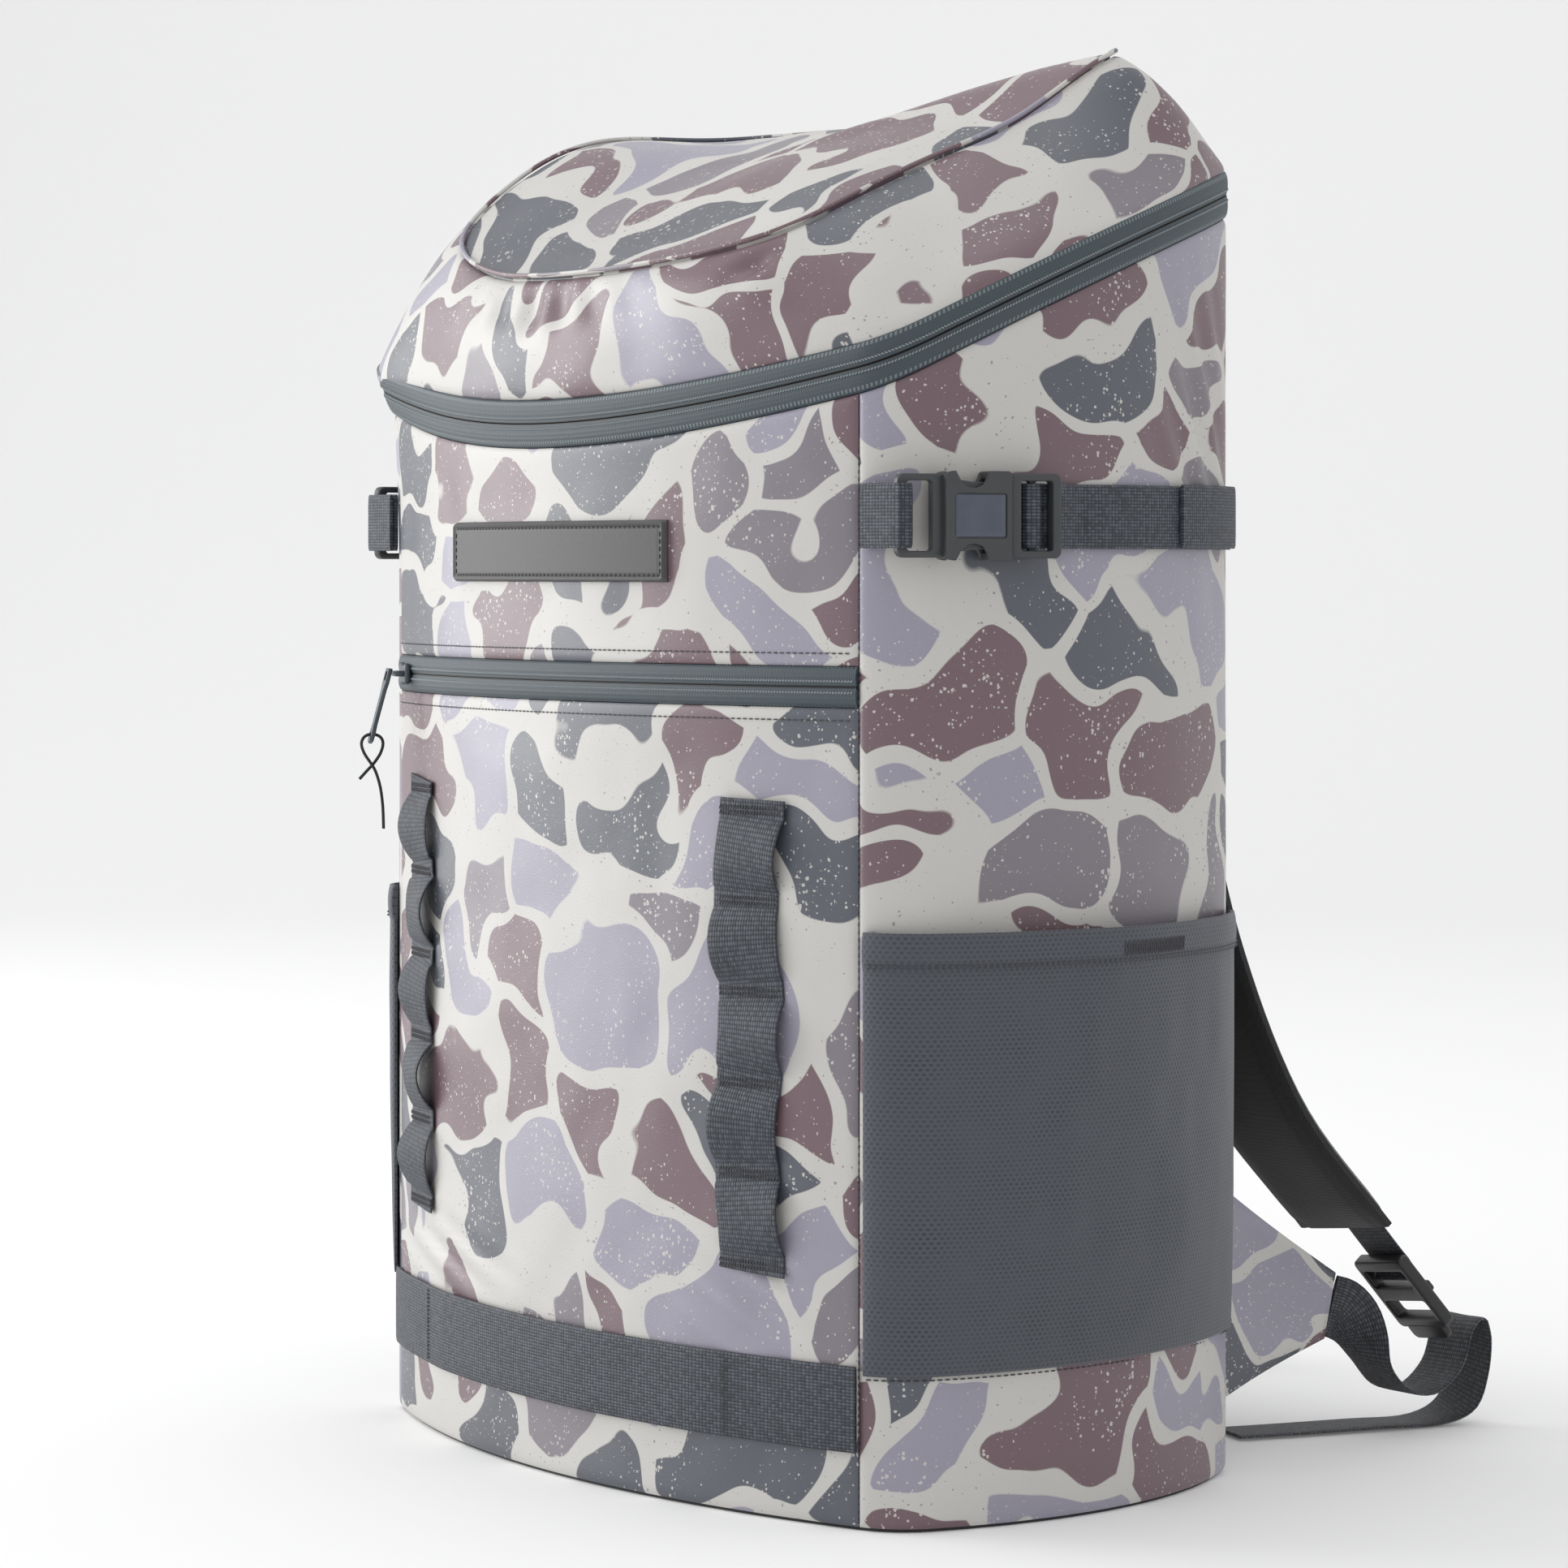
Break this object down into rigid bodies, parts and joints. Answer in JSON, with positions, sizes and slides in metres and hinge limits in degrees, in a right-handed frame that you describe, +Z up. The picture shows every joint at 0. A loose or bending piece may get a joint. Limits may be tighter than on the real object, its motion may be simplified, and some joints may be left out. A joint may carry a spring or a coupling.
{
  "type": "tackle backpack",
  "caption": "Tall tackle backpack with a zipped slanting lid, zipped front pocket, webbing loops, stretch side pockets, side-release compression straps and padded shoulder straps",
  "frame": {"origin": "middle of the flat underside of the base, on the floor the bag stands on", "axes": "+Z up, -Y the decorated front with the patch, +Y the wearer's side with the shoulder straps, +X to the right when facing the front"},
  "size_m": [0.4086, 0.3839, 0.5335],
  "materials": {
    "camo_fabric": "coated woven cloth with a printed blob camouflage in cream, mauve and slate, semi-gloss",
    "back_fabric": "black woven cloth over foam, matte",
    "slate_webbing": "ribbed slate-grey webbing with light flecks, matte",
    "mesh_fabric": "fine knitted stretch mesh, matte",
    "zip_tape": "woven zip tape with a coiled zip, dark slate-teal, semi-matte",
    "zip_metal": "coated cast metal, satin",
    "pull_cord": "thin braided cord, matte",
    "grey_plastic": "moulded mid-grey plastic, satin",
    "buckle_badge": "blank domed resin insert, glossy",
    "black_plastic": "moulded black plastic, satin",
    "front_patch": "blank moulded soft rubber, matte",
    "lining_fabric": "plain light woven lining, matte",
    "base_board": "coated stiff base board, matte"
  },
  "bodies": {
    "pack": {"base_panel": "base_board", "inner_lining": "lining_fabric", "front_upper_panel": "camo_fabric", "front_pocket_panel": "camo_fabric", "side_panel_right": "camo_fabric", "side_panel_left": "camo_fabric", "back_panel": "back_fabric", "front_wall_pad": "lining_fabric", "main_zip_lower_tape": "zip_tape", "pocket_zip_tape": "zip_tape", "front_patch": "front_patch", "daisy_chain_right": "slate_webbing", "daisy_chain_left": "slate_webbing", "base_webbing": "slate_webbing", "mesh_pocket_right": "mesh_fabric", "mesh_pocket_left": "mesh_fabric", "mesh_pocket_hem_right": "mesh_fabric", "mesh_pocket_hem_left": "mesh_fabric", "strap_loop_right": "slate_webbing", "strap_loop_left": "slate_webbing", "buckle_socket_right": "grey_plastic", "buckle_socket_left": "grey_plastic", "buckle_badge_right": "buckle_badge", "buckle_badge_left": "buckle_badge", "rear_strap_right": "slate_webbing", "rear_strap_left": "slate_webbing", "lid_hinge_strip": "zip_tape", "haul_handle": "slate_webbing", "back_pad_right": "back_fabric", "back_pad_left": "back_fabric", "strap_anchor_right": "slate_webbing", "strap_anchor_left": "slate_webbing", "strap_wing_right": "camo_fabric", "strap_wing_left": "camo_fabric"},
    "lid": {"lid_band": "camo_fabric", "lid_top_panel": "camo_fabric", "lid_welt": "camo_fabric", "main_zip_upper_tape": "zip_tape"},
    "pocket_slider": {"pocket_slider": "zip_metal"},
    "pocket_pull": {"pocket_pull": "zip_metal", "pocket_pull_cord": "pull_cord"},
    "lid_slider_front": {"lid_slider_front": "zip_metal"},
    "lid_slider_rear": {"lid_slider_rear": "zip_metal"},
    "lid_pull_front": {"lid_pull_front": "zip_metal"},
    "lid_pull_rear": {"lid_pull_rear": "zip_metal"},
    "buckle_clip_right": {"buckle_clip_right": "grey_plastic"},
    "buckle_prong_upper_right": {"buckle_prong_upper_right": "grey_plastic"},
    "buckle_prong_lower_right": {"buckle_prong_lower_right": "grey_plastic"},
    "shoulder_strap_right": {"shoulder_pad_right": "back_fabric", "pad_webbing_right": "slate_webbing", "ladder_lock_right": "black_plastic", "lower_strap_right": "slate_webbing"},
    "buckle_clip_left": {"buckle_clip_left": "grey_plastic"},
    "buckle_prong_upper_left": {"buckle_prong_upper_left": "grey_plastic"},
    "buckle_prong_lower_left": {"buckle_prong_lower_left": "grey_plastic"},
    "shoulder_strap_left": {"shoulder_pad_left": "back_fabric", "pad_webbing_left": "slate_webbing", "ladder_lock_left": "black_plastic", "lower_strap_left": "slate_webbing"}
  },
  "joints": [
    {"name": "lid_hinge", "type": "hinge", "parent": "pack", "child": "lid", "pos_m": [0, 0.1145, 0.4975], "axis": [-1, 0, 0], "range_deg": [0, 100]},
    {"name": "pocket_slider_travel", "type": "hinge", "parent": "pack", "child": "pocket_slider", "pos_m": [0, 0.35132, 0.3075], "axis": [0, 0, 1], "range_deg": [0, 36]},
    {"name": "pocket_pull_swing", "type": "hinge", "parent": "pocket_slider", "child": "pocket_pull", "pos_m": [-0.14838, -0.09934, 0.3075], "axis": [-0.9498, 0.3127, 0], "range_deg": [0, 140]},
    {"name": "lid_slider_front_travel", "type": "hinge", "parent": "pack", "child": "lid_slider_front", "pos_m": [0.00459, 0.00177, 0.41183], "axis": [0.2322, -0.3724, 0.8985], "range_deg": [0, 23]},
    {"name": "lid_slider_rear_travel", "type": "hinge", "parent": "pack", "child": "lid_slider_rear", "pos_m": [0.00459, 0.00177, 0.41183], "axis": [-0.2322, 0.3724, -0.8985], "range_deg": [0, 14]},
    {"name": "lid_pull_front_swing", "type": "hinge", "parent": "lid_slider_front", "child": "lid_pull_front", "pos_m": [-0.19464, 0.02939, 0.47267], "axis": [0.2325, 0.9726, 0], "range_deg": [0, 140]},
    {"name": "lid_pull_rear_swing", "type": "hinge", "parent": "lid_slider_rear", "child": "lid_pull_rear", "pos_m": [-0.18811, 0.05149, 0.47978], "axis": [0.3443, 0.9388, 0], "range_deg": [0, 140]},
    {"name": "buckle_right_release", "type": "slide", "parent": "pack", "child": "buckle_clip_right", "axis": [0.1685, 0.9857, 0], "range_m": [0, 0.025], "deforming": ["rear_strap_right"]},
    {"name": "prong_upper_right_squeeze", "type": "hinge", "parent": "buckle_clip_right", "child": "buckle_prong_upper_right", "pos_m": [0.19668, -0.03742, 0.38], "axis": [0.9857, -0.1685, 0], "range_deg": [0, 7], "stiffness_Nm_per_rad": 0.02},
    {"name": "prong_lower_right_squeeze", "type": "hinge", "parent": "buckle_clip_right", "child": "buckle_prong_lower_right", "pos_m": [0.19668, -0.03742, 0.36], "axis": [0.9857, -0.1685, 0], "range_deg": [-7, 0], "stiffness_Nm_per_rad": 0.02},
    {"name": "shoulder_strap_right_swing", "type": "hinge", "parent": "pack", "child": "shoulder_strap_right", "pos_m": [0.05, 0.1335, 0.4275], "axis": [1, 0, 0], "range_deg": [0, 18]},
    {"name": "buckle_left_release", "type": "slide", "parent": "pack", "child": "buckle_clip_left", "axis": [-0.1685, 0.9857, 0], "range_m": [0, 0.025], "deforming": ["rear_strap_left"]},
    {"name": "prong_upper_left_squeeze", "type": "hinge", "parent": "buckle_clip_left", "child": "buckle_prong_upper_left", "pos_m": [-0.19668, -0.03742, 0.38], "axis": [0.9857, 0.1685, 0], "range_deg": [0, 7], "stiffness_Nm_per_rad": 0.02},
    {"name": "prong_lower_left_squeeze", "type": "hinge", "parent": "buckle_clip_left", "child": "buckle_prong_lower_left", "pos_m": [-0.19668, -0.03742, 0.36], "axis": [0.9857, 0.1685, 0], "range_deg": [-7, 0], "stiffness_Nm_per_rad": 0.02},
    {"name": "shoulder_strap_left_swing", "type": "hinge", "parent": "pack", "child": "shoulder_strap_left", "pos_m": [-0.05, 0.1335, 0.4275], "axis": [1, 0, 0], "range_deg": [0, 18]}
  ],
  "couplings": [
    {"joint": "prong_lower_right_squeeze", "follows": "prong_upper_right_squeeze", "ratio": -1},
    {"joint": "prong_lower_left_squeeze", "follows": "prong_upper_left_squeeze", "ratio": -1}
  ]
}
